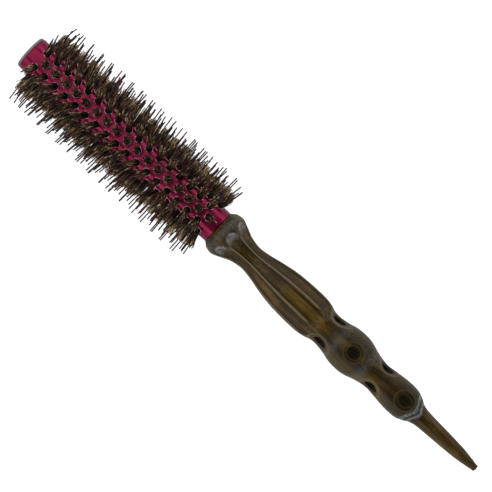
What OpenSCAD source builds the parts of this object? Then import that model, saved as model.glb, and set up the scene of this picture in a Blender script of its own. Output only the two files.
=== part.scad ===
// Round barrel brush: a drilled barrel set with boar tufts and nylon pins, on a carved wooden handle
// whose end runs out into a sectioning tail. The brush lies along X, its barrel towards -X.

/* [Barrel] */
// Length of the barrel, from the end cap's inner face to the handle
barrel_l = 104.6; // [104:0.2:106]
// Diameter of the barrel
barrel_d = 15.3; // [15:0.1:16.5]
// Thickness of the end cap's rim
cap_t = 1.2; // [1:0.1:2]
// Diameter of the end cap
cap_d = 15; // [13:0.1:15]
// Diameter of the barrel's sockets, for the handle's tenon and the cap's spigot
socket_d = 6; // [4:0.1:6.4]

/* [Bristles] */
// Number of tufts in a row
tufts = 17; // [2:1:17]
// Distance between the tufts of a row
pitch = 5.66; // [5:0.01:5.66]
// Distance from the cap's face to the first tuft of the forward rows
first_tuft = 6.8; // [5:0.1:6.8]
// Diameter of a tuft's hole
hole_d = 3; // [3:0.1:3.2]
// Depth of a tuft's hole
hole_depth = 3.25; // [2.8:0.05:3.3]
// Diameter over the tips of the boar tufts
boar_d = 31.4; // [26:0.2:34]
// Diameter over the tips of the nylon pins
pin_span_d = 40.6; // [36:0.2:44]
// Diameter of one nylon pin
pin_d = 0.5; // [0.3:0.05:0.5]

/* [Handle] */
// Diameter of the bulge next to the barrel
head_d = 19.5; // [18:0.1:21]
// Diameter of the waist, over the ridges
waist_d = 12.1; // [11:0.1:13]
// Diameter of the grip, over the ridges
grip_d = 19.6; // [18:0.1:21]
// Diameter of the large ball
ball_1_d = 18.8; // [18:0.1:20]
// Diameter of the small ball
ball_2_d = 15.3; // [14.6:0.1:16]
// Depth of the flutes in the grip
flute_depth = 0.75; // [0.4:0.05:1]
// Diameter of the round dishes carved in the balls
dish_d = 8.6; // [6:0.2:9]

/* [Hidden] */

rows = 12;
row_step = 360 / rows;
total_l = 250;
barrel_end = cap_t + barrel_l;
glue_gap = 0.05;
tenon_l = 12;
spigot_l = 5;
barrel_r = barrel_d / 2;
hole_bottom = barrel_r - hole_depth;

// A tuft starts on its anchor and flares at tuft_flare millimetres of radius per millimetre of height.
anchor_h = 0.7;
anchor_l = 2.4;
anchor_w = 0.35;
tuft_bottom = hole_bottom + anchor_h + 0.05;
tuft_bottom_r = 0.7;
tuft_flare = 0.1;
boar_tip = boar_d / 2;

// Each pin stands against its tuft's side and follows the flare out to its tip.
pin_bottom = hole_bottom + 0.1;
pin_tip = pin_span_d / 2 - 0.04;
pin_gap = 0.03;

// Handle outline: distance from the cap's face, and radius over the ridges.
outline = [
    [barrel_end, barrel_r + 0.15],
    [barrel_end + 2.2, head_d / 2 - 0.6],
    [barrel_end + 4.8, head_d / 2],
    [barrel_end + 7.2, head_d / 2 - 0.45],
    [115.3, waist_d / 2 + 2.35],
    [118.6, waist_d / 2 + 0.85],
    [123.8, waist_d / 2],
    [129, waist_d / 2 + 0.7],
    [135, waist_d / 2 + 2],
    [142, grip_d / 2 - 0.5],
    [149, grip_d / 2 - 0.05],
    [154.5, grip_d / 2],
    [159.2, grip_d / 2 - 0.45],
    [162.4, 8.3],
    [167, 7.5],
    [171.5, 8.1],
    [175.2, ball_1_d / 2 - 0.35],
    [179.7, ball_1_d / 2],
    [183.8, ball_1_d / 2 - 0.45],
    [188.6, 7.5],
    [191.9, 6.7],
    [195, 6.4],
    [198.4, 6.75],
    [203.3, ball_2_d / 2 - 0.3],
    [207.6, ball_2_d / 2],
    [211.3, ball_2_d / 2 - 0.35],
    [214.4, 6.15],
    [217, 4.75],
    [220.2, 4.05],
    [230, 3.45],
    [240.5, 2.8],
    [246.4, 1.95],
    [total_l - 0.7, 1.5],
    [total_l, 1]
];
flute_count = 8;
flute_start = barrel_end + 5;
flute_end = 162.5;
// Round dishes in the balls and oval pits in the necks, half a step further round.
// top_turn brings the first dish to the top.
hollow_count = 3;
top_turn = 180;
ball_places = [180.8, 208.5];
pit_places = [167.8, 195.4];
step = 1;

// Slope of the outline at point i, from its two neighbours
function slope(i) = i == 0 || i == len(outline) - 1 ? 0
    : (outline[i + 1][1] - outline[i - 1][1]) / (outline[i + 1][0] - outline[i - 1][0]);
// Cubic curve between points i and i + 1, with t from 0 to 1
function curve(i, t, run) =
    outline[i][1] * (2 * t ^ 3 - 3 * t ^ 2 + 1) + outline[i + 1][1] * (3 * t ^ 2 - 2 * t ^ 3)
    + run * slope(i) * (t ^ 3 - 2 * t ^ 2 + t) + run * slope(i + 1) * (t ^ 3 - t ^ 2);
// The outline's curve as points about a millimetre apart
function outline_points() = [
    for (i = [0 : len(outline) - 2])
        let (run = outline[i + 1][0] - outline[i][0], parts = max(1, round(run / step)))
            for (j = [0 : parts - 1])
                [curve(i, j / parts, run), outline[i][0] + run * j / parts],
    [outline[len(outline) - 1][1], total_l]
];
// Depth of a flute at distance x, running out at both its ends
function flute_depth_at(x) =
    let (t = (x - flute_start) / (flute_end - flute_start))
        flute_depth * min(1, 9 * t, 9 * (1 - t)) ^ 0.5;

// Stands a shape that was turned about Z along the brush's axis.
module along_axis() {
    translate([-total_l / 2, 0, 0])
        rotate([0, 90, 0])
            children();
}

// Repeats a shape at every tuft of a row. Even rows are set back by half a pitch.
module at_tufts(row) {
    set_back = row % 2 == 0 ? 0 : pitch / 2;
    rotate([(row - 1) * row_step, 0, 0])
        for (i = [0 : tufts - 1])
            translate([first_tuft + set_back + i * pitch - total_l / 2, 0, 0])
                children();
}

module flute_cutter() {
    run = [for (p = outline_points()) if (p[1] > flute_start && p[1] < flute_end) p];
    last = len(run) - 1;
    half_angle = 17;
    rotate([0, 0, -half_angle])
        rotate_extrude(angle = 2 * half_angle, $fn = 96)
            polygon(concat(
                [for (p = run) [p[0] - flute_depth_at(p[1]), p[1]]],
                [for (i = [0 : last]) [run[last - i][0] + 1, run[last - i][1]]]
            ));
}

module dish_cutter(place, surface_r) {
    dish_depth = 0.55;
    centre_d = 5.4;
    translate([0, 0, place])
        rotate([0, 90, 0]) {
            translate([0, 0, surface_r - dish_depth])
                cylinder(h = 4, d = dish_d, $fn = 48);
            translate([0, 0, surface_r - 2 * dish_depth])
                cylinder(h = 4, d = centre_d, $fn = 48);
        }
}

module pit_cutter(place, surface_r) {
    pit_d = 2.6;
    pit_l = 2.4;
    pit_depth = 1.1;
    translate([surface_r - pit_depth, 0, place])
        rotate([0, 90, 0])
            linear_extrude(4)
                union() {
                    translate([-pit_l / 2, -pit_d / 2]) square([pit_l, pit_d]);
                    translate([-pit_l / 2, 0]) circle(d = pit_d, $fn = 32);
                    translate([pit_l / 2, 0]) circle(d = pit_d, $fn = 32);
                }
}

// Carved in one piece with its tail and its tenon
module handle() {
    color([0.30, 0.22, 0.11])
        along_axis() {
            difference() {
                rotate_extrude($fn = 96)
                    polygon(concat([[0, barrel_end]], outline_points(), [[0, total_l]]));
                for (i = [0 : flute_count - 1])
                    rotate([0, 0, i * 360 / flute_count]) flute_cutter();
                for (i = [0 : hollow_count - 1])
                    rotate([0, 0, top_turn + i * 360 / hollow_count]) {
                        dish_cutter(ball_places[0], ball_1_d / 2);
                        dish_cutter(ball_places[1], ball_2_d / 2);
                    }
                for (i = [0 : hollow_count - 1])
                    rotate([0, 0, top_turn + (i + 0.5) * 360 / hollow_count]) {
                        pit_cutter(pit_places[0], 7.5);
                        pit_cutter(pit_places[1], 6.4);
                    }
            }
            translate([0, 0, barrel_end - tenon_l])
                cylinder(h = tenon_l + 1, d = socket_d - 2 * glue_gap, $fn = 64);
        }
}

// Solid, with a blind hole for every tuft and a socket in each end
module barrel() {
    rounding = 0.5;
    color([0.66, 0.06, 0.28])
        difference() {
            along_axis()
                difference() {
                    union() {
                        translate([0, 0, cap_t + rounding])
                            cylinder(h = barrel_l - rounding, d = barrel_d, $fn = 96);
                        translate([0, 0, cap_t])
                            cylinder(h = rounding, d1 = barrel_d - rounding, d2 = barrel_d, $fn = 96);
                    }
                    translate([0, 0, barrel_end - tenon_l - 0.3])
                        cylinder(h = tenon_l + 1, d = socket_d, $fn = 64);
                    translate([0, 0, cap_t - 1])
                        cylinder(h = spigot_l + 1.3, d = socket_d, $fn = 64);
                }
            for (row = [1 : rows])
                at_tufts(row)
                    translate([0, 0, hole_bottom])
                        cylinder(h = hole_depth + 1, d = hole_d, $fn = 24);
        }
}

// A moulded disc with a rounded rim, glued in by its spigot
module end_cap() {
    rim = 0.7;
    color([0.42, 0.43, 0.45])
        along_axis() {
            rotate_extrude($fn = 96)
                polygon(concat(
                    [[0, 0]],
                    [for (a = [0 : 15 : 90]) [cap_d / 2 - rim + rim * sin(a), rim - rim * cos(a)]],
                    [[cap_d / 2, cap_t], [0, cap_t]]
                ));
            translate([0, 0, cap_t - 0.2])
                cylinder(h = spigot_l + 0.2, d = socket_d - 2 * glue_gap, $fn = 64);
        }
}

// The boar bristle of one row: each tuft flares from its hole to its trimmed top
module boar_row(row) {
    color([0.25, 0.17, 0.10])
        at_tufts(row)
            translate([0, 0, tuft_bottom])
                cylinder(
                    h = boar_tip - tuft_bottom,
                    r1 = tuft_bottom_r,
                    r2 = tuft_bottom_r + tuft_flare * (boar_tip - tuft_bottom),
                    $fn = 24
                );
}

// The nylon pins of one row, two to a tuft, one on each side of it
module pin_row(row) {
    lean = atan(tuft_flare);
    side = tuft_bottom_r + tuft_flare * (pin_bottom - tuft_bottom) + pin_d / 2 + pin_gap;
    color([0.20, 0.08, 0.08])
        at_tufts(row)
            for (turn = [0, 180])
                rotate([0, 0, turn])
                    translate([0, side, pin_bottom])
                        rotate([-lean, 0, 0])
                            cylinder(h = (pin_tip - pin_bottom) / cos(lean), d = pin_d, $fn = 16);
}

// The flat wire anchors that pin one row's tufts to the bottoms of their holes
module anchor_row(row) {
    color([0.72, 0.73, 0.75])
        at_tufts(row)
            translate([-anchor_l / 2, -anchor_w / 2, hole_bottom])
                cube([anchor_l, anchor_w, anchor_h]);
}

function row_name(kind, row) = str(kind, "_row_", row < 10 ? "0" : "", row);

handle();
barrel();
end_cap();
for (row = [1 : rows]) {
    boar_row(row);
    pin_row(row);
    anchor_row(row);
}
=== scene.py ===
import math
import random

import bpy
import numpy as np
from mathutils import Matrix, Vector


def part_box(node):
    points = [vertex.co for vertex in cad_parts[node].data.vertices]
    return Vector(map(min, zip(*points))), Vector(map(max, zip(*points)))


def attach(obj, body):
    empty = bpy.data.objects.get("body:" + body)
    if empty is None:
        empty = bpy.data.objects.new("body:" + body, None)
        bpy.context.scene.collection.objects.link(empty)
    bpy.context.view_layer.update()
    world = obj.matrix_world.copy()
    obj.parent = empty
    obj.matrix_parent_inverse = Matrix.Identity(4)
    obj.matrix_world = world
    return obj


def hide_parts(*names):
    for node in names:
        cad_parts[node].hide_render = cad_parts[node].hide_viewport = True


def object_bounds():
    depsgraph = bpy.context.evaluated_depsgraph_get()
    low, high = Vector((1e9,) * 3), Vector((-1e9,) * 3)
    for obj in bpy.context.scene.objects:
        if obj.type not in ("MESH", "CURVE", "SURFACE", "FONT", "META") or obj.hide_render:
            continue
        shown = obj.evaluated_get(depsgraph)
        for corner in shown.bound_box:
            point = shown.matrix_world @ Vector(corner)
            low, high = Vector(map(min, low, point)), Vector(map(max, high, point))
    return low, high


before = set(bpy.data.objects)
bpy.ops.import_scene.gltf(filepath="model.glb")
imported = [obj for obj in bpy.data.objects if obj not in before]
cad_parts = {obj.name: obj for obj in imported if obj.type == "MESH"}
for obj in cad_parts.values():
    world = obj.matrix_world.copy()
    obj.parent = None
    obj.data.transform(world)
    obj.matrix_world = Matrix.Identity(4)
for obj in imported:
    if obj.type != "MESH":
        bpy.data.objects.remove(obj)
cad_low, cad_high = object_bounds()


# ---- Barrel -----------------------------------------------------------------------------------
# A slim round bar, drilled with twelve staggered rows of blind holes and then dipped in raspberry
# lacquer. The lacquer gathers in a raised lip round the mouth of every hole.

MM = 0.001
ROWS = 12
TUFTS = 17
ROW_STEP = math.tau / ROWS
ANCHOR_LENGTH = 2.4 * MM
HOLE_RADIUS = 1.5 * MM
LIP_HEIGHT = 0.16 * MM
LIP_FOOT = 1.24 * HOLE_RADIUS
END_ROUND = 0.5 * MM
barrel_low, barrel_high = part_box("barrel")
barrel_radius = barrel_high.z
hole_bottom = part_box("anchor_row_01")[0].z

# The rings of a hole, from its floor to its lip: radius against the hole's, height above the skin
# (None is the floor), and how much painted glint, a paler colour on the lip, shows there.
HOLE_RINGS = (
    (1.00, None, 0.0), (1.00, -1.2 * MM, 0.0), (1.00, -0.05 * MM, 0.0),
    (1.04, 0.8 * LIP_HEIGHT, 0.8), (1.10, LIP_HEIGHT, 1.0), (1.17, 0.45 * LIP_HEIGHT, 0.3),
)


def tuft_places(row):
    """Where along X the tufts of a row stand: over the middles of the row's wire anchors."""
    low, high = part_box("anchor_row_%02d" % row)
    return np.linspace(low.x + ANCHOR_LENGTH / 2, high.x - ANCHOR_LENGTH / 2, TUFTS)


def new_piece(name, verts, faces, node, slot):
    """Makes a mesh piece that stands for a CAD node and rides on the brush."""
    mesh = bpy.data.meshes.new(name)
    mesh.from_pydata(verts, [], faces)
    mesh.validate()
    mesh.shade_smooth()
    piece = bpy.data.objects.new(name, mesh)
    bpy.context.collection.objects.link(piece)
    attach(piece, "root")
    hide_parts(node)
    return piece


def barrel_mesh():
    """The drilled skin, laid out as one tile round each hole, with plain strips at both ends."""
    across, along = 6, 10
    pitch = tuft_places(1)[1] - tuft_places(1)[0]
    border = [(-0.5 + i / across, -0.5) for i in range(across)]
    border += [(0.5, -0.5 + i / along) for i in range(along)]
    border += [(0.5 - i / across, 0.5) for i in range(across)]
    border += [(-0.5, 0.5 - i / along) for i in range(along)]
    verts, faces, lip_glints, known = [], [], [], {}

    def vertex(x, turn, radius, lip=0.0):
        """The number of the vertex at this place, making it if there is none."""
        y, z = -radius * math.sin(turn), radius * math.cos(turn)
        key = (round(x * 1e7), round(y * 1e7), round(z * 1e7))
        if key not in known:
            known[key] = len(verts)
            verts.append((x, y, z))
            lip_glints.append(lip)
        return known[key]

    def hole_ring(x, turn, grow, height, lip):
        """One of the rings of a hole, with a vertex towards each point of the tile's border."""
        ring = []
        radius = grow * HOLE_RADIUS
        for u, v in border:
            way = math.atan2(u * ROW_STEP * barrel_radius, v * pitch)
            side = radius * math.sin(way)
            level = math.sqrt(barrel_radius**2 - side**2)
            up = hole_bottom if height is None else level + height
            ring.append(vertex(
                x + radius * math.cos(way),
                turn + math.atan2(side, up),
                math.hypot(side, up),
                lip,
            ))
        return ring

    def skin_ring(x, turn, reach):
        """A ring on the skin: the foot of the lip at reach 0, and the tile's border at reach 1."""
        ring = []
        for u, v in border:
            way = math.atan2(u * ROW_STEP * barrel_radius, v * pitch)
            foot_x, foot_side = LIP_FOOT * math.cos(way), LIP_FOOT * math.sin(way)
            ring.append(vertex(
                x + reach * v * pitch + (1 - reach) * foot_x,
                turn + reach * u * ROW_STEP + (1 - reach) * math.asin(foot_side / barrel_radius),
                barrel_radius,
            ))
        return ring

    def strip(turn, stations):
        """A plain strip one row wide, through stations of (x, radius)."""
        for (x0, r0), (x1, r1) in zip(stations, stations[1:]):
            for i in range(across):
                a, b = (turn + ROW_STEP * (j / across - 0.5) for j in (i, i + 1))
                corners = ((x0, a, r0), (x0, b, r0), (x1, b, r1), (x1, a, r1))
                faces.append(tuple(vertex(*corner) for corner in corners))

    first = min(tuft_places(1)[0], tuft_places(2)[0]) - pitch / 2
    last = max(tuft_places(1)[-1], tuft_places(2)[-1]) + pitch / 2
    nose = [(barrel_low.x, barrel_radius - 1.3 * END_ROUND)]
    for i in range(7):
        bend = math.pi / 2 * i / 6
        nose.append((
            barrel_low.x + END_ROUND * (1 - math.cos(bend)),
            barrel_radius - END_ROUND * (1 - math.sin(bend)),
        ))
    nose += [(x, barrel_radius) for x in np.linspace(nose[-1][0], first, 4)[1:]]
    heel = [(x, barrel_radius) for x in np.linspace(last, barrel_high.x, 5)]
    for row in range(1, ROWS + 1):
        turn = (row - 1) * ROW_STEP
        places = tuft_places(row)
        for x in places:
            rings = [hole_ring(x, turn, *ring) for ring in HOLE_RINGS]
            rings += [skin_ring(x, turn, reach) for reach in (0, 0.5, 1)]
            faces.append(tuple(rings[0]))
            for inner, outer in zip(rings, rings[1:]):
                for i in range(len(border)):
                    j = (i + 1) % len(border)
                    faces.append((inner[j], inner[i], outer[i], outer[j]))
        ahead = round((places[0] - pitch / 2 - first) / pitch * along)
        behind = round((last - places[-1] - pitch / 2) / pitch * along)
        step = pitch / along
        strip(turn, nose + [(first + (i + 1) * step, barrel_radius) for i in range(ahead)])
        strip(turn, [(last - (behind - i) * step, barrel_radius) for i in range(behind)] + heel)
    turns = [ROW_STEP * (i / across - 0.5) for i in range(ROWS * across)]
    faces.append(tuple(vertex(nose[0][0], t, nose[0][1]) for t in reversed(turns)))
    faces.append(tuple(vertex(barrel_high.x, t, barrel_radius) for t in turns))
    return verts, faces, lip_glints


def keep_values(piece, name, values):
    """Stores one value a vertex for the material to read. Vertices past the last value get 0."""
    kept = piece.data.attributes.new(name, "FLOAT", "POINT")
    padded = np.zeros(len(piece.data.vertices), dtype=np.float32)
    padded[: len(values)] = values
    kept.data.foreach_set("value", padded)


def place(tree, kind, inputs, **properties):
    """Adds a node. An input given as another node's output is linked, and any other is set."""
    node = tree.nodes.new(kind)
    for name, value in properties.items():
        setattr(node, name, value)
    for name, value in inputs.items():
        if isinstance(value, bpy.types.NodeSocket):
            tree.links.new(value, node.inputs[name])
        else:
            node.inputs[name].default_value = value
    return node


def own_space(tree):
    """Places in the piece's own space, in metres."""
    return place(tree, "ShaderNodeTexCoord", {}).outputs["Object"]


def kept_value(tree, name):
    """A value that keep_values stored on the mesh."""
    return place(tree, "ShaderNodeAttribute", {}, attribute_name=name).outputs["Fac"]


def drawn_out(tree, space, along, across, tilt=(0.0, 0.0, 0.0)):
    """Space in which a texture is drawn out along the brush, for grain and for scratches."""
    return place(tree, "ShaderNodeMapping", {
        "Vector": space, "Scale": (along, across, across), "Rotation": tilt}).outputs[0]


def noise(tree, space, scale, detail, roughness=0.5):
    """A cloudy value round 0.5."""
    return place(tree, "ShaderNodeTexNoise", {
        "Vector": space, "Scale": scale, "Detail": detail, "Roughness": roughness}).outputs[0]


def spread(tree, value, low, high, to_low=0.0, to_high=1.0):
    """A value taken from the range low to high to the range to_low to to_high, and held to it."""
    return place(tree, "ShaderNodeMapRange", {
        "Value": value, "From Min": low, "From Max": high,
        "To Min": to_low, "To Max": to_high}).outputs[0]


def maths(tree, how, first, second):
    """Two values put together by a Math node."""
    return place(tree, "ShaderNodeMath", {0: first, 1: second}, operation=how).outputs[0]


def ramp(tree, factor, stops):
    """A colour ramp through (position, colour) stops."""
    node = place(tree, "ShaderNodeValToRGB", {"Fac": factor})
    ends = node.color_ramp.elements
    while len(ends) < len(stops):
        ends.new(0.5)
    for end, (position, colour) in zip(ends, stops):
        end.position = position
        end.color = (*colour, 1)
    return node.outputs["Color"]


def blend(tree, factor, first, second, how="MIX"):
    """One colour laid over another."""
    node = place(tree, "ShaderNodeMix", {0: factor}, data_type="RGBA", blend_type=how)
    for socket, value in ((node.inputs[6], first), (node.inputs[7], second)):
        if isinstance(value, bpy.types.NodeSocket):
            tree.links.new(value, socket)
        else:
            socket.default_value = (*value, 1)
    return node.outputs[2]


def raise_grain(tree, shader, height, strength, distance):
    """Feeds a height to the shader's normal through a Bump node."""
    bump = place(tree, "ShaderNodeBump", {
        "Height": height, "Strength": strength, "Distance": distance})
    tree.links.new(bump.outputs[0], shader.inputs["Normal"])


def finish_of(name, **values):
    """A material with one Principled shader. Returns it with its tree and shader."""
    made = bpy.data.materials.new(name)
    made.use_nodes = True
    shader = made.node_tree.nodes["Principled BSDF"]
    for socket, value in values.items():
        shader.inputs[socket.replace("_", " ")].default_value = value
    return made, made.node_tree, shader


def coated_surface():
    """A shader group for a handled, glossy coat: rubbed patches, hairline scratches and ripple."""
    tree = bpy.data.node_groups.new("handled_gloss", "ShaderNodeTree")
    face = tree.interface
    face.new_socket("Vector", in_out="INPUT", socket_type="NodeSocketVector")
    for name, value in (
        ("Smooth", 0.12), ("Rubbed", 0.35), ("Ripple Scale", 900.0), ("Scratch Height", 0.3)
    ):
        face.new_socket(name, in_out="INPUT", socket_type="NodeSocketFloat").default_value = value
    face.new_socket("Roughness", in_out="OUTPUT", socket_type="NodeSocketFloat")
    face.new_socket("Height", in_out="OUTPUT", socket_type="NodeSocketFloat")
    given = tree.nodes.new("NodeGroupInput").outputs
    result = tree.nodes.new("NodeGroupOutput").inputs
    patches = noise(tree, given["Vector"], 160.0, 5.0, 0.6)
    rubbed = spread(tree, patches, 0.42, 0.68, given["Smooth"], given["Rubbed"])
    ripple = noise(tree, given["Vector"], given["Ripple Scale"], 2.0)
    hairline_space = drawn_out(tree, given["Vector"], 260.0, 5200.0, (0.3, 0.25, 0.2))
    hairlines = spread(tree, noise(tree, hairline_space, 1.0, 1.0), 0.66, 0.72)
    scratches = maths(tree, "MULTIPLY", hairlines, given["Scratch Height"])
    tree.links.new(rubbed, result["Roughness"])
    tree.links.new(maths(tree, "SUBTRACT", ripple, scratches), result["Height"])
    return tree


handled_gloss = coated_surface()


def gloss_over(tree, shader, here, smooth, rubbed, ripple=900.0):
    """Puts the handled gloss on a material. Returns its height, for the material's own bump."""
    skin = place(tree, "ShaderNodeGroup", {
        "Vector": here, "Smooth": smooth, "Rubbed": rubbed, "Ripple Scale": ripple,
    }, node_tree=handled_gloss)
    tree.links.new(skin.outputs["Roughness"], shader.inputs["Roughness"])
    return skin.outputs["Height"]


def raspberry_lacquer():
    made, tree, shader = finish_of(
        "raspberry_lacquer", Metallic=0.90, Coat_Weight=0.25, Coat_Roughness=0.12, Coat_IOR=1.4)
    here = own_space(tree)
    tint = ramp(tree, noise(tree, here, 120.0, 6.0), [
        (0.30, (0.205, 0.004, 0.034)), (0.55, (0.270, 0.007, 0.048)), (0.75, (0.330, 0.012, 0.064))])
    flakes = place(tree, "ShaderNodeTexVoronoi", {"Vector": here, "Scale": 5200.0})
    glint = maths(tree, "MULTIPLY", spread(tree, flakes.outputs["Distance"], 0.22, 0.05), 0.25)
    flaked = blend(tree, glint, tint, (0.55, 0.05, 0.14))
    # Painted glints: the lips of the holes are paler, in patches, where they would catch the light
    glint_breakup = spread(tree, noise(tree, here, 800.0, 2.0), 0.42, 0.52)
    painted_glint = maths(tree, "MULTIPLY", kept_value(tree, "lip"), glint_breakup)
    tree.links.new(blend(tree, painted_glint, flaked, (0.70, 0.63, 0.64)), shader.inputs["Base Color"])
    raise_grain(tree, shader, gloss_over(tree, shader, here, 0.20, 0.34), 0.10, 0.02 * MM)
    return made


verts, faces, lip_glints = barrel_mesh()
barrel = new_piece("barrel_body", verts, faces, "barrel", "barrel_lacquer")
keep_values(barrel, "lip", lip_glints)
barrel.data.materials.append(raspberry_lacquer())


# ---- End cap ----------------------------------------------------------------------------------
# A grey moulded disc with a rounded rim, a slightly hollow face and a small gate mark in its
# middle. Its spigot is glued into the barrel's free end.

CAP_ROUND = 0.75 * MM
FACE_RADIUS = 6.2 * MM
FACE_DEPTH = 0.18 * MM
GATE_DEPTH = 0.30 * MM
BACK_CHAMFER = 0.12 * MM
SHADOW_GAP = 0.02 * MM
PEG_RADIUS = 2.95 * MM
CAP_SIDES = 96
cap_low, cap_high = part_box("end_cap")


def ring_faces(first, second, sides):
    """The faces between two rings of vertices, given the number of each ring's first vertex."""
    faces = []
    for i in range(sides):
        j = (i + 1) % sides
        faces.append((first + i, first + j, second + j, second + i))
    return faces


def turned_mesh(profile, sides):
    """Turns (x, radius) points about the X axis, and closes both ends."""
    verts, faces = [], []
    for x, r in profile:
        verts += [(x, -r * math.sin(math.tau * i / sides), r * math.cos(math.tau * i / sides))
                  for i in range(sides)]
    for k in range(len(profile) - 1):
        faces += ring_faces(k * sides, (k + 1) * sides, sides)
    faces.append(tuple(reversed(range(sides))))
    faces.append(tuple((len(profile) - 1) * sides + i for i in range(sides)))
    return verts, faces


def cap_profile():
    """The gate mark, the dished face, the rounded rim, the shadow gap and the spigot."""
    face, outer = cap_low.x, cap_high.z
    points = [
        (face + GATE_DEPTH, 0.15 * MM), (face + GATE_DEPTH, 0.75 * MM), (face + FACE_DEPTH, 0.9 * MM)]
    for radius in np.linspace(1.2 * MM, FACE_RADIUS, 12):
        points.append((face + FACE_DEPTH * (1 - (radius / FACE_RADIUS) ** 4), radius))
    for i in range(1, 11):
        bend = math.pi / 2 * i / 10
        points.append((
            face + CAP_ROUND * (1 - math.cos(bend)),
            outer - CAP_ROUND * (1 - math.sin(bend)),
        ))
    back = barrel_low.x - SHADOW_GAP
    points += [(back - BACK_CHAMFER, outer), (back, outer - BACK_CHAMFER)]
    points += [(back, PEG_RADIUS), (cap_high.x, PEG_RADIUS)]
    return points


def grey_moulding():
    made, tree, shader = finish_of("grey_moulding", Specular_IOR_Level=0.5)
    here = own_space(tree)
    tint = ramp(tree, noise(tree, here, 420.0, 5.0), [
        (0.3, (0.19, 0.19, 0.20)), (0.7, (0.28, 0.28, 0.29))])
    tree.links.new(tint, shader.inputs["Base Color"])
    fine_texture = gloss_over(tree, shader, here, 0.30, 0.55, ripple=4200.0)
    raise_grain(tree, shader, fine_texture, 0.25, 0.03 * MM)
    return made


cap = new_piece("end_cap_disc", *turned_mesh(cap_profile(), CAP_SIDES), "end_cap", "cap_plastic")
cap.data.materials.append(grey_moulding())


# ---- Handle -----------------------------------------------------------------------------------
# Turned from one length of hardwood and carved: eight flutes down the grip, three round hollows
# in each ball, three oval pits in each neck, and a plain tail. Stained olive-brown, rubbed back on
# the ridges and lacquered. Its tenon is glued into the barrel.

SIDES = 192
TIP_ROUND = 0.6 * MM
seam = barrel_high.x
tip = cad_high.x

# The lathe outline: distance from the cap's face, and radius over the ridges, in millimetres
OUTLINE = np.array((
    (105.8, 8.0), (107.4, 9.15), (109.6, 9.72), (111.6, 9.68), (113.4, 9.2), (115.3, 8.45),
    (118.6, 6.95), (123.8, 6.0), (129.0, 6.65), (135.0, 8.05), (142.0, 9.3), (149.0, 9.8),
    (154.5, 9.88), (158.6, 9.65), (161.4, 8.75), (164.0, 7.75), (167.0, 7.5), (171.5, 8.1),
    (175.2, 9.05), (179.7, 9.4), (183.8, 8.98), (188.6, 7.52), (191.9, 6.75), (195.0, 6.43),
    (198.4, 6.78), (203.3, 7.35), (207.6, 7.6), (211.3, 7.3), (214.4, 6.15), (217.0, 4.7),
    (220.2, 4.0), (230.0, 3.43), (240.5, 2.76), (246.4, 1.95), (249.2, 1.5),
)) * MM

# The flutes: how many, how deep against the radius, and how much shorter at their edges
FLUTES = 8
FLUTE_DEPTH = 0.118
FLUTE_POINT = 3.4 * MM
flute_first, flute_last = seam + 4.6 * MM, seam + 56.8 * MM

# The hollows of the two balls and the two necks, each carved three times round the handle: place
# from the seam, turn of the first in thirds of a round, half length, width against length,
# radius of the deep middle, and how sharp the rim is. Lengths are in millimetres.
HOLLOWS_ROUND = 3
HOLLOWS = (
    (74.8, 0.0, 4.6, 0.95, 2.95, 0.55), (103.4, 0.0, 4.5, 0.95, 2.95, 0.55),
    (62.0, 0.5, 5.3, 0.72, 2.90, 0.95), (89.6, 0.5, 5.0, 0.72, 2.90, 0.95),
)
DISH_DEPTH = 0.9 * MM
MIDDLE_DEPTH = 1.5 * MM

# Bands of painted sheen, pale where the lacquer would reflect the tent's light: place from the
# seam, half width, how far the band bows towards the seam between the balls' hollows, all in
# millimetres, and its strength
PAINTED_SHEENS = (
    (3.0, 3.2, 0.0, 0.24), (67.0, 3.0, 0.0, 0.12), (82.5, 3.0, 0.0, 0.20),
    (109.6, 1.25, 2.2, 1.0), (112.0, 1.15, 2.0, 1.0),
)


def lathe_radius(x):
    """A smooth cubic through the lathe outline. A point's slope comes from its two neighbours."""
    places, radii = OUTLINE.T
    slopes = np.zeros(len(places))
    slopes[1:-1] = (radii[2:] - radii[:-2]) / (places[2:] - places[:-2])
    place_x = x - cad_low.x
    i = np.clip(np.searchsorted(places, place_x, side="right") - 1, 0, len(places) - 2)
    run = places[i + 1] - places[i]
    t = np.clip((place_x - places[i]) / run, 0, 1)
    return (
        radii[i] * (2 * t**3 - 3 * t**2 + 1) + radii[i + 1] * (3 * t**2 - 2 * t**3)
        + run * slopes[i] * (t**3 - 2 * t**2 + t) + run * slopes[i + 1] * (t**3 - t**2)
    )


def ease(value, start, end):
    """0 up to start, 1 from end on, and a smooth climb between."""
    t = np.clip((value - start) / (end - start), 0, 1)
    return t * t * (3 - 2 * t)


def hollows():
    """Every hollow in metres: place, turn, half length, half width, middle's radius, sharpness."""
    third = math.tau / HOLLOWS_ROUND
    for k in range(HOLLOWS_ROUND):
        for place_x, first, long, width, middle, sharp in HOLLOWS:
            yield (
                seam + place_x * MM, (k + first) * third,
                long * MM, width * long * MM, middle * MM, sharp,
            )


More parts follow.
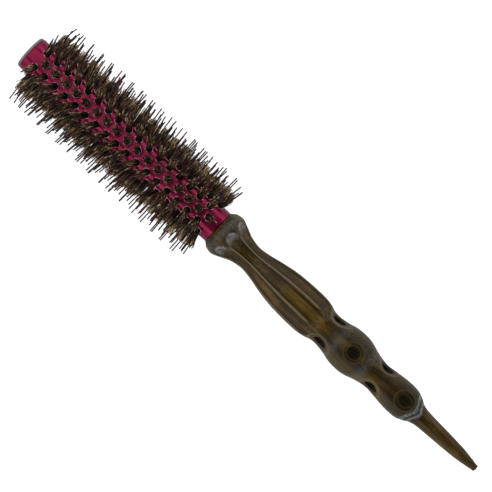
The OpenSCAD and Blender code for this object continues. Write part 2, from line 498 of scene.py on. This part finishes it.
def handle_surface(x, turn):
    """Radius, wear and painted highlight, stain and painted shade, and painted sheen, at places x and
    turns round the handle.
    """
    radius = lathe_radius(x) + 0 * turn

    # The flutes are scoops with pointed ends. The ridges between them show wear, painted shade lies
    # in each flute beside its ridges, and a pale petal of painted reflection marks the start of each
    # flute.
    across = np.abs((turn / math.tau * FLUTES + 0.5) % 1 - 0.5) * 2
    start = flute_first + FLUTE_POINT * across**2
    stop = flute_last - FLUTE_POINT * across**2
    run_in = ease(x, start, start + 2.6 * MM)
    run_out = 1 - ease(x, stop - 2.2 * MM, stop)
    cut = FLUTE_DEPTH * radius * ((1 - across**2) * run_in * run_out)
    wear_and_highlight = ease(across, 0.80, 0.97) * ease(x, flute_first + 3 * MM, flute_first + 6 * MM)
    wear_and_highlight = wear_and_highlight * (1 - ease(x, flute_last - 6 * MM, flute_last - 3 * MM))
    dark = 0.60 * ease(across, 0.40, 0.70) * (1 - ease(across, 0.74, 0.90)) * run_in * run_out
    petal = ease(x - start, -0.3 * MM, 0.7 * MM) * (1 - ease(x - start, 1.0 * MM, 4.6 * MM))
    painted_sheen = 0.9 * petal * (1 - ease(across, 0.45, 0.95))

    # Stain lies thicker in line with the balls' hollows and at the tip, and wears thin between
    in_line = np.cos(HOLLOWS_ROUND * turn)
    carved = ease(x, seam + 56 * MM, seam + 64 * MM)
    carved = carved * (1 - ease(x, seam + 106 * MM, seam + 110 * MM))
    wear_and_highlight = np.maximum(wear_and_highlight, 0.24 * carved * (1 - ease(in_line, -0.8, 0.1)))
    dark = np.maximum(dark, 0.26 * carved * ease(in_line, -0.3, 0.5))
    dark = np.maximum(dark, 0.30 * ease(x, tip - 12 * MM, tip))
    for place_x, reach, bow, strength in PAINTED_SHEENS:
        band = seam + (place_x - bow * (0.5 - 0.5 * in_line)) * MM
        painted_sheen = np.maximum(painted_sheen, strength * (1 - ease(np.abs(x - band), 0, reach * MM)))

    # A hollow is a shallow dish with a deep middle. Painted shade fills the middle, and a painted
    # highlight lines a sharp rim.
    for place_x, facing, long, wide, middle, sharp in hollows():
        off = (turn - facing + math.pi) % math.tau - math.pi
        reach = np.hypot((x - place_x) / long, radius * off / wide)
        into = np.hypot(x - place_x, radius * off * long / wide) / middle
        deep = 1 - ease(into, 0.75, 1.1)
        cut = cut + DISH_DEPTH * np.clip(1 - reach**2, 0, 1) + MIDDLE_DEPTH * deep
        # Painted highlight: a sharp rim is lightened as if it caught the light
        wear_and_highlight = np.maximum(wear_and_highlight, 0.7 * sharp * (1 - ease(np.abs(reach - 1), 0.02, 0.12)))
        filled = 1 - ease(into, 0.6 + 0.35 * sharp, 1.50 - 0.25 * sharp)
        dark = np.maximum(dark, (0.35 + 0.68 * sharp) * filled)
        # Painted shade also spreads well past the rims of the balls' shallow dishes
        dark = np.maximum(dark, 0.95 * (1 - sharp) * (1 - ease(reach, 1.3, 2.8)))
        painted_sheen = painted_sheen * ease(reach, 0.8, 1.1)
    return radius - cut, wear_and_highlight, dark, painted_sheen


def handle_mesh():
    """The carved skin as rings along X, then the tenon. Returns the material's three masks too."""
    grip_end, balls_end, round_start = seam + 60 * MM, seam + 112 * MM, tip - TIP_ROUND
    xs = np.concatenate([
        np.linspace(seam, grip_end, 215), np.linspace(grip_end, balls_end, 190)[1:],
        np.linspace(balls_end, round_start, 70)[1:], np.linspace(round_start, tip, 7)[1:]])
    turns = np.arange(SIDES) * math.tau / SIDES
    radius, *masks = handle_surface(xs[:, None], turns[None, :])
    to_tip = np.clip((xs - tip) / TIP_ROUND + 1, 0, 1)[:, None]
    radius = radius - TIP_ROUND * (1 - np.sqrt(1 - to_tip**2))
    y, z = -radius * np.sin(turns), radius * np.cos(turns)
    verts = [(x, y[k, i], z[k, i]) for k, x in enumerate(xs) for i in range(SIDES)]
    faces = []
    for k in range(len(xs) - 1):
        faces += ring_faces(k * SIDES, (k + 1) * SIDES, SIDES)
    faces.append(tuple((len(xs) - 1) * SIDES + i for i in range(SIDES)))
    inner = 0
    for x in (seam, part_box("handle")[0].x):
        start = len(verts)
        verts += [(x, -PEG_RADIUS * math.sin(t), PEG_RADIUS * math.cos(t)) for t in turns]
        faces += ring_faces(start, inner, SIDES)
        inner = start
    faces.append(tuple(reversed(range(inner, inner + SIDES))))
    return verts, faces, dict(zip(("wear_and_highlight", "dark", "painted_sheen"), masks))


def stained_hardwood():
    made, tree, shader = finish_of(
        "stained_hardwood", Specular_IOR_Level=0.05, Coat_Roughness=0.22, Coat_IOR=1.36)
    here = own_space(tree)
    drift = place(tree, "ShaderNodeTexNoise", {
        "Vector": drawn_out(tree, here, 30.0, 190.0), "Scale": 1.0, "Detail": 3.0})
    shifted = place(tree, "ShaderNodeVectorMath", {
        0: drift.outputs["Color"], 1: (0.0022, 0.0022, 0.0022)}, operation="MULTIPLY")
    bent = place(tree, "ShaderNodeVectorMath", {
        0: here, 1: shifted.outputs[0]}, operation="ADD").outputs[0]
    rings = place(tree, "ShaderNodeTexWave", {
        "Vector": bent, "Scale": 95.0, "Distortion": 1.5, "Detail": 2.0,
        "Detail Scale": 2.0}, wave_type="BANDS", bands_direction="Z")
    fibres = noise(tree, drawn_out(tree, bent, 90.0, 2100.0), 1.0, 5.0, 0.7)
    pores = noise(tree, drawn_out(tree, bent, 420.0, 6200.0), 1.0, 1.0)
    streaks = noise(tree, drawn_out(tree, here, 26.0, 300.0), 1.0, 3.0, 0.55)
    wood = ramp(tree, fibres, [
        (0.32, (0.012, 0.007, 0.002)), (0.50, (0.074, 0.044, 0.009)), (0.68, (0.185, 0.118, 0.027))])
    ring_shade = maths(tree, "MULTIPLY", rings.outputs["Fac"], 0.55)
    ringed = blend(tree, ring_shade, wood, (0.034, 0.016, 0.004))
    amber = spread(tree, streaks, 0.48, 0.70, 0.0, 0.75)
    warmed = blend(tree, amber, ringed, (0.215, 0.122, 0.020))
    red = spread(tree, noise(tree, here, 110.0, 2.0), 0.55, 0.70, 0.0, 0.6)
    reddened = blend(tree, red, warmed, (0.085, 0.026, 0.007))
    stain = ramp(tree, noise(tree, here, 85.0, 3.0), [
        (0.36, (0.55, 0.60, 0.70)), (0.64, (1.0, 0.98, 0.92))])
    stained = blend(tree, 1.0, reddened, stain, "MULTIPLY")
    # Wear on the ridges, and the painted highlight on the hollows' sharp rims, lighten the wood
    wear_and_highlight = maths(tree, "MULTIPLY", kept_value(tree, "wear_and_highlight"), 0.65)
    rubbed = blend(tree, wear_and_highlight, stained, (0.300, 0.220, 0.105))
    # Stain, and painted shade in the flutes and the hollows, darken the wood almost to black
    dark = kept_value(tree, "dark")
    darkened = blend(tree, maths(tree, "MULTIPLY", dark, 0.92), rubbed, (0.004, 0.003, 0.002))
    # Painted sheen: a pale grey laid over the wood in place of reflected light, broken up by noise
    sheen_breakup = spread(tree, noise(tree, here, 900.0, 3.0), 0.36, 0.64, 0.25, 1.15)
    pale = maths(tree, "MULTIPLY", kept_value(tree, "painted_sheen"), sheen_breakup)
    tree.links.new(blend(tree, pale, darkened, (0.270, 0.262, 0.252)), shader.inputs["Base Color"])
    tree.links.new(spread(tree, dark, 0.3, 1.0, 0.55, 0.08), shader.inputs["Coat Weight"])
    open_grain = spread(tree, pores, 0.36, 0.46)
    relief = maths(tree, "ADD", open_grain, gloss_over(tree, shader, here, 0.30, 0.48))
    raise_grain(tree, shader, relief, 0.30, 0.03 * MM)
    return made


verts, faces, masks = handle_mesh()
handle = new_piece("handle_body", verts, faces, "handle", "handle_wood")
for name, values in masks.items():
    keep_values(handle, name, values.ravel())
handle.data.materials.append(stained_hardwood())


# ---- Wire anchors -----------------------------------------------------------------------------
# Short lengths of flat bright wire. Each is driven across the fold of a tuft and holds it down on
# the floor of its hole. The CAD pieces are kept as they are, in a drawn-wire finish.


def drawn_wire():
    made, tree, shader = finish_of("drawn_wire", Metallic=1.0)
    lines = noise(tree, drawn_out(tree, own_space(tree), 900.0, 14000.0), 1.0, 3.0)
    tint = ramp(tree, lines, [(0.3, (0.42, 0.42, 0.44)), (0.7, (0.66, 0.66, 0.68))])
    tree.links.new(tint, shader.inputs["Base Color"])
    tree.links.new(spread(tree, lines, 0.0, 1.0, 0.2, 0.45), shader.inputs["Roughness"])
    raise_grain(tree, shader, lines, 0.3, 0.01 * MM)
    return made


wire = drawn_wire()
for row in range(1, ROWS + 1):
    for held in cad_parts["anchor_row_%02d" % row].material_slots:
        held.material = wire


# ---- Boar tufts -------------------------------------------------------------------------------
# Bundles of natural bristle, folded over their anchors and trimmed to a ragged round. Black,
# brown and blond bristles are mixed in every bundle. Away from the handle they lean to the cap.

BRISTLES = 64
BUNDLE_RADIUS = 1.25 * MM
BRISTLE_BEND = 0.5 * MM
STRAY_SHARE = 0.07
SHORT_SHARE = 0.18
boar_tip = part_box("boar_row_01")[1].z
pin_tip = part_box("pin_row_01")[1].z

# How wide a bundle stands against BUNDLE_RADIUS: at its roots, at the mouth of its hole, and at
# its ends along the brush and round it
ROOT_WIDTH, MOUTH_WIDTH, END_LENGTH, END_WIDTH = 0.8, 0.95, 1.35, 1.4

# The radii of the thinnest and the thickest bristle in millimetres, and the tip against the root
THINNEST, THICKEST, TAPER = 0.12, 0.19, 0.72

# The slant towards the cap of each row's tufts, in degrees, for half the rows. The rest repeat it.
ROW_LEANS = (2, 14, 8, 4, 8, 14)

# What the tufts right beside the cap have on top of that
CAP_LEANS = (0, 0, -4, -13, -4, 0)


def tuft_lean(row, x):
    """The slant of a tuft towards the cap, in radians. Below 0 it is towards the handle."""
    along = (x - barrel_low.x) / (barrel_high.x - barrel_low.x)
    near_handle = ease(along, 0.58, 0.78)
    set_in = (1 - near_handle) * ease(along, 0.0, 0.22)
    at_cap = (1 - ease(along, 0.02, 0.14)) * math.radians(CAP_LEANS[(row - 1) % 6])
    splay = at_cap - 0.12 * ease(along, 0.90, 0.955)
    pressed = -0.05 * abs(math.cos((row - 1) * ROW_STEP)) * near_handle
    return math.radians(ROW_LEANS[(row - 1) % 6]) * float(set_in) + float(splay + pressed)


def row_ways(row):
    """The directions along the brush, round it and out of it where a row stands."""
    turn = (row - 1) * ROW_STEP
    return (
        np.array([1.0, 0.0, 0.0]),
        np.array([0.0, -math.cos(turn), -math.sin(turn)]),
        np.array([0.0, -math.sin(turn), math.cos(turn)]),
    )


def spot(ways, x, aside, level):
    """The point at x along the brush, aside from the row's middle and at a level above the axis."""
    long, side, up = ways
    return long * x + side * aside + up * level


def strand(tufts, root, mouth, end, bend, radii, sides, tone):
    """Adds a tapered strand to tufts: straight up its hole to the mouth, then out with a bend."""
    outer = np.linspace(0, 1, 4)[:, None]
    centres = np.vstack((root, mouth + (end - mouth) * outer + bend * outer**2))
    joints = len(centres)
    steps = np.concatenate(([0], np.cumsum(np.linalg.norm(np.diff(centres, axis=0), axis=1))))
    steps /= steps[-1]
    aside = np.cross(end - root, (1.0, 0.0, 0.0))
    aside /= np.linalg.norm(aside)
    other = np.cross(end - root, aside)
    other /= np.linalg.norm(other)
    # The tone also turns each strand round itself, so that the strands' facets don't line up
    spin = np.arange(sides) * math.tau / sides + tone * 7
    disc = np.outer(np.cos(spin), aside) + np.outer(np.sin(spin), other)
    first = tufts["count"]
    for centre, step in zip(centres, steps):
        tufts["verts"].append(centre + disc * radii[0] * (1 - step) + disc * radii[1] * step)
        tufts["along"].append(np.full(sides, step))
    tufts["tone"].append(np.full(sides * joints, tone))
    for k in range(joints - 1):
        tufts["faces"] += ring_faces(first + k * sides, first + (k + 1) * sides, sides)
    tufts["faces"].append(tuple(first + (joints - 1) * sides + i for i in range(sides)))
    tufts["faces"].append(tuple(first + i for i in reversed(range(sides))))
    tufts["count"] += sides * joints


def empty_tufts():
    return {"verts": [], "faces": [], "along": [], "tone": [], "count": 0}


def tufts_piece(name, tufts, node, slot):
    """Joins the strands of a row into its piece, and stores where along its strand a vertex is."""
    piece = new_piece(name, np.vstack(tufts["verts"]).tolist(), tufts["faces"], node, slot)
    keep_values(piece, "along", np.concatenate(tufts["along"]))
    keep_values(piece, "tone", np.concatenate(tufts["tone"]))
    return piece


def boar_row(row):
    chance = random.Random(100 + row)
    ways = row_ways(row)
    floor = hole_bottom + 0.75 * MM
    above_skin = boar_tip - barrel_radius
    tufts = empty_tufts()
    for x in tuft_places(row):
        lean = tuft_lean(row, x) + chance.gauss(0, 0.025)
        trim = chance.gauss(0, 0.35) * MM
        for _ in range(BRISTLES):
            out = BUNDLE_RADIUS * math.sqrt(chance.random())
            way_round = chance.random() * math.tau
            dx, ds = out * math.cos(way_round), out * math.sin(way_round)
            root = spot(ways, x + ROOT_WIDTH * dx, ROOT_WIDTH * ds, floor)
            mouth = spot(ways, x + MOUTH_WIDTH * dx, MOUTH_WIDTH * ds, barrel_radius)
            stray = 0.9 if chance.random() < STRAY_SHARE else 0.32
            end_x = dx * END_LENGTH - math.tan(lean) * above_skin + chance.gauss(0, stray) * MM
            end_s = ds * END_WIDTH + chance.gauss(0, stray) * MM
            end = spot(ways, x + end_x, end_s, boar_tip)
            cut_short = abs(chance.gauss(0, 1.2)) * MM - trim
            if chance.random() < SHORT_SHARE:
                cut_short += chance.uniform(0.8, 3.2) * MM
            end += (mouth - end) * max(cut_short, 0) / above_skin
            bend = spot(ways, chance.gauss(0, 1), chance.gauss(0, 1), 0) * BRISTLE_BEND
            thick = chance.uniform(THINNEST, THICKEST) * MM
            strand(tufts, root, mouth, end, bend, (thick, TAPER * thick), 4, chance.random())
    return tufts_piece("boar_tufts_%02d" % row, tufts, "boar_row_%02d" % row, "boar_bristle")


def strand_colours():
    """A shader group that picks a strand's colour by its tone, with painted shade towards the root
    and on the cut end.
    """
    tree = bpy.data.node_groups.new("strand_shades", "ShaderNodeTree")
    face = tree.interface
    for name in ("Dark", "Middle", "Light"):
        face.new_socket(name, in_out="INPUT", socket_type="NodeSocketColor")
    for name, value in (("Dark Share", 0.5), ("Light Share", 0.15), ("Root Shade", 0.35)):
        face.new_socket(name, in_out="INPUT", socket_type="NodeSocketFloat").default_value = value
    face.new_socket("Color", in_out="OUTPUT", socket_type="NodeSocketColor")
    face.new_socket("Mottle", in_out="OUTPUT", socket_type="NodeSocketFloat")
    given = tree.nodes.new("NodeGroupInput").outputs
    result = tree.nodes.new("NodeGroupOutput").inputs
    tone = kept_value(tree, "tone")
    along = kept_value(tree, "along")
    mottle = noise(tree, own_space(tree), 1600.0, 3.0)
    light_from = maths(tree, "SUBTRACT", 1.0, given["Light Share"])
    above_dark = maths(tree, "GREATER_THAN", tone, given["Dark Share"])
    is_light = maths(tree, "GREATER_THAN", tone, light_from)
    picked = blend(tree, above_dark, given["Dark"], given["Middle"])
    picked = blend(tree, is_light, picked, given["Light"])
    # Painted shade: darker towards the root, where the bundle shades itself, and at the cut end,
    # where little light falls
    shaded_roots = spread(tree, along, 0.42, 0.96, given["Root Shade"], 1.0)
    speckled = spread(tree, mottle, 0.3, 0.7, 0.45, 1.6)
    shaded_cut_ends = spread(tree, along, 0.975, 0.99, 1.0, 0.25)
    shade = maths(tree, "MULTIPLY", maths(tree, "MULTIPLY", shaded_roots, speckled), shaded_cut_ends)
    scaled = place(tree, "ShaderNodeVectorMath", {0: picked}, operation="SCALE")
    tree.links.new(shade, scaled.inputs["Scale"])
    tree.links.new(scaled.outputs[0], result["Color"])
    tree.links.new(mottle, result["Mottle"])
    return tree


strand_shades = strand_colours()


def strand_finish(name, colours, shares, smooth, specular):
    """A strand material: dark, middle and light colours, the dark and light shares, and the painted
    shade at the roots.
    """
    made, tree, shader = finish_of(name, Specular_IOR_Level=specular)
    shades = place(tree, "ShaderNodeGroup", {}, node_tree=strand_shades)
    for socket, colour in zip(("Dark", "Middle", "Light"), colours):
        shades.inputs[socket].default_value = (*colour, 1)
    for socket, share in zip(("Dark Share", "Light Share", "Root Shade"), shares):
        shades.inputs[socket].default_value = share
    mottle = shades.outputs["Mottle"]
    tree.links.new(shades.outputs["Color"], shader.inputs["Base Color"])
    tree.links.new(spread(tree, mottle, 0.3, 0.7, smooth, smooth + 0.2), shader.inputs["Roughness"])
    raise_grain(tree, shader, mottle, 0.3, 0.02 * MM)
    return made


boar_bristle = strand_finish(
    "boar_bristle", ((0.034, 0.022, 0.014), (0.270, 0.130, 0.046), (1.00, 0.72, 0.37)),
    (0.42, 0.17, 0.10), smooth=0.38, specular=0.5)
for row in range(1, ROWS + 1):
    boar_row(row).data.materials.append(boar_bristle)


# ---- Nylon pins -------------------------------------------------------------------------------
# Stiff dark wine filaments, cut square. One is folded over each tuft's anchor, so that its two
# ends stand up through the bristle, and about every third hole holds a third end.

PIN_RADIUS = 0.29 * MM
PIN_BEND = 0.15 * MM
THIRD_END_SHARE = 0.35

# How far the pins of a tuft stand from its middle, and the same against that at the mouth and tips
PIN_SPREAD = 0.85 * MM
PIN_MOUTH, PIN_TIPS = 1.1, 1.3


def pin_row(row):
    chance = random.Random(500 + row)
    ways = row_ways(row)
    floor = hole_bottom + 0.1 * MM
    tufts = empty_tufts()
    for x in tuft_places(row):
        leaning = math.tan(tuft_lean(row, x)) * (pin_tip - barrel_radius)
        ends = 3 if chance.random() < THIRD_END_SHARE else 2
        first_way = chance.random() * math.tau
        for i in range(ends):
            way_round = first_way + math.tau * i / ends + chance.gauss(0, 0.3)
            dx, ds = PIN_SPREAD * math.cos(way_round), PIN_SPREAD * math.sin(way_round)
            root = spot(ways, x + dx, ds, floor)
            mouth = spot(ways, x + PIN_MOUTH * dx, PIN_MOUTH * ds, barrel_radius)
            end_x = PIN_TIPS * dx - leaning + chance.gauss(0, 0.35) * MM
            end_s = PIN_TIPS * ds + chance.gauss(0, 0.45) * MM
            level = pin_tip - abs(chance.gauss(0, 0.35)) * MM - 0.12 * MM
            end = spot(ways, x + end_x, end_s, level)
            bend = spot(ways, chance.gauss(0, 1), chance.gauss(0, 1), 0) * PIN_BEND
            strand(tufts, root, mouth, end, bend, (PIN_RADIUS, PIN_RADIUS), 8, chance.random())
    return tufts_piece("nylon_pins_%02d" % row, tufts, "pin_row_%02d" % row, "nylon_pin")


wine_nylon = strand_finish(
    "wine_nylon", ((0.016, 0.006, 0.005), (0.060, 0.012, 0.013), (0.120, 0.022, 0.028)),
    (0.45, 0.2, 0.8), smooth=0.30, specular=0.3)
for row in range(1, ROWS + 1):
    pin_row(row).data.materials.append(wine_nylon)


# ---- Studio -----------------------------------------------------------------------------------
# The brush lies on a plain pale floor, in the even light of a white tent. One broad soft lamp
# stands off beyond the cap, and the camera looks down on the brush.


def pale_floor():
    """White paper. Its own glow is only for the camera, so that the brush isn't lit from below."""
    made, tree, shader = finish_of("pale_floor", Roughness=0.9, Specular_IOR_Level=0.1)
    tint = ramp(tree, noise(tree, own_space(tree), 6.0, 4.0), [
        (0.3, (0.86, 0.86, 0.86)), (0.7, (0.90, 0.90, 0.90))])
    tree.links.new(tint, shader.inputs["Base Color"])
    shader.inputs["Emission Color"].default_value = (1, 1, 1, 1)
    seen = place(tree, "ShaderNodeLightPath", {}).outputs["Is Camera Ray"]
    tree.links.new(maths(tree, "MULTIPLY", seen, 0.75), shader.inputs["Emission Strength"])
    return made


FLOOR_REACH = 2.0
floor_corners = [
    (x * FLOOR_REACH, y * FLOOR_REACH, cad_low.z) for x, y in ((-1, -1), (1, -1), (1, 1), (-1, 1))]
floor_mesh = bpy.data.meshes.new("floor")
floor_mesh.from_pydata(floor_corners, [], [(0, 1, 2, 3)])
floor_mesh.materials.append(pale_floor())
floor_piece = bpy.data.objects.new("floor", floor_mesh)
bpy.context.collection.objects.link(floor_piece)

world = bpy.data.worlds.new("studio")
bpy.context.scene.world = world
world.use_nodes = True
sky = world.node_tree
sky_way = place(sky, "ShaderNodeTexCoord", {}).outputs["Generated"]
sky_height = place(sky, "ShaderNodeSeparateXYZ", {0: sky_way}).outputs["Z"]
tent = ramp(sky, sky_height, [
    (0.00, (0.50, 0.51, 0.53)), (0.20, (0.55, 0.57, 0.60)), (0.34, (0.90, 0.95, 1.0)),
    (0.54, (0.90, 0.95, 1.0)), (0.76, (0.035, 0.035, 0.04))])
seen = place(sky, "ShaderNodeLightPath", {}).outputs["Is Camera Ray"]
sky.links.new(blend(sky, seen, tent, (0.8, 0.8, 0.8)), sky.nodes["Background"].inputs["Color"])
sky.nodes["Background"].inputs["Strength"].default_value = 1.3

# The lamp shines straight down, and the camera doesn't see it. Its sizes are in metres.
lamp_data = bpy.data.lights.new("key", "AREA")
lamp_data.shape = "RECTANGLE"
lamp_data.energy = 1.6
lamp_data.size, lamp_data.size_y = 0.58, 1.0
lamp = bpy.data.objects.new("key", lamp_data)
bpy.context.collection.objects.link(lamp)
lamp.location = (cad_low.x - 0.24, 0.0, 0.66)
lamp.visible_camera = False

# The camera's aim and width of view are measured in lengths of the brush. The brush lies slanting
# down to the right of its view.
CAMERA_HEIGHT = 1.0
CAMERA_TILT = math.radians(3.2)
brush_length = cad_high.x - cad_low.x
view_width = 0.8049 * brush_length
slant = math.radians(43.07)
aim = Vector((cad_low.x + 0.4765 * brush_length, 2.3 * MM, 0))
camera_data = bpy.data.cameras.new("camera")
camera = bpy.data.objects.new("camera", camera_data)
bpy.context.collection.objects.link(camera)
camera.location = aim + Vector((0, -CAMERA_HEIGHT * math.tan(CAMERA_TILT), CAMERA_HEIGHT))
back = (camera.location - aim).normalized()
right = Vector((-math.sin(slant), math.cos(slant), 0)).cross(back).normalized()
camera.rotation_mode = "QUATERNION"
camera.rotation_quaternion = Matrix((right, back.cross(right), back)).transposed().to_quaternion()
camera_data.sensor_width = 36.0
camera_data.lens = camera_data.sensor_width * (camera.location - aim).length / view_width
camera_data.clip_start, camera_data.clip_end = 0.05, 20.0
bpy.context.scene.camera = camera
bpy.context.scene.view_settings.view_transform = "Standard"
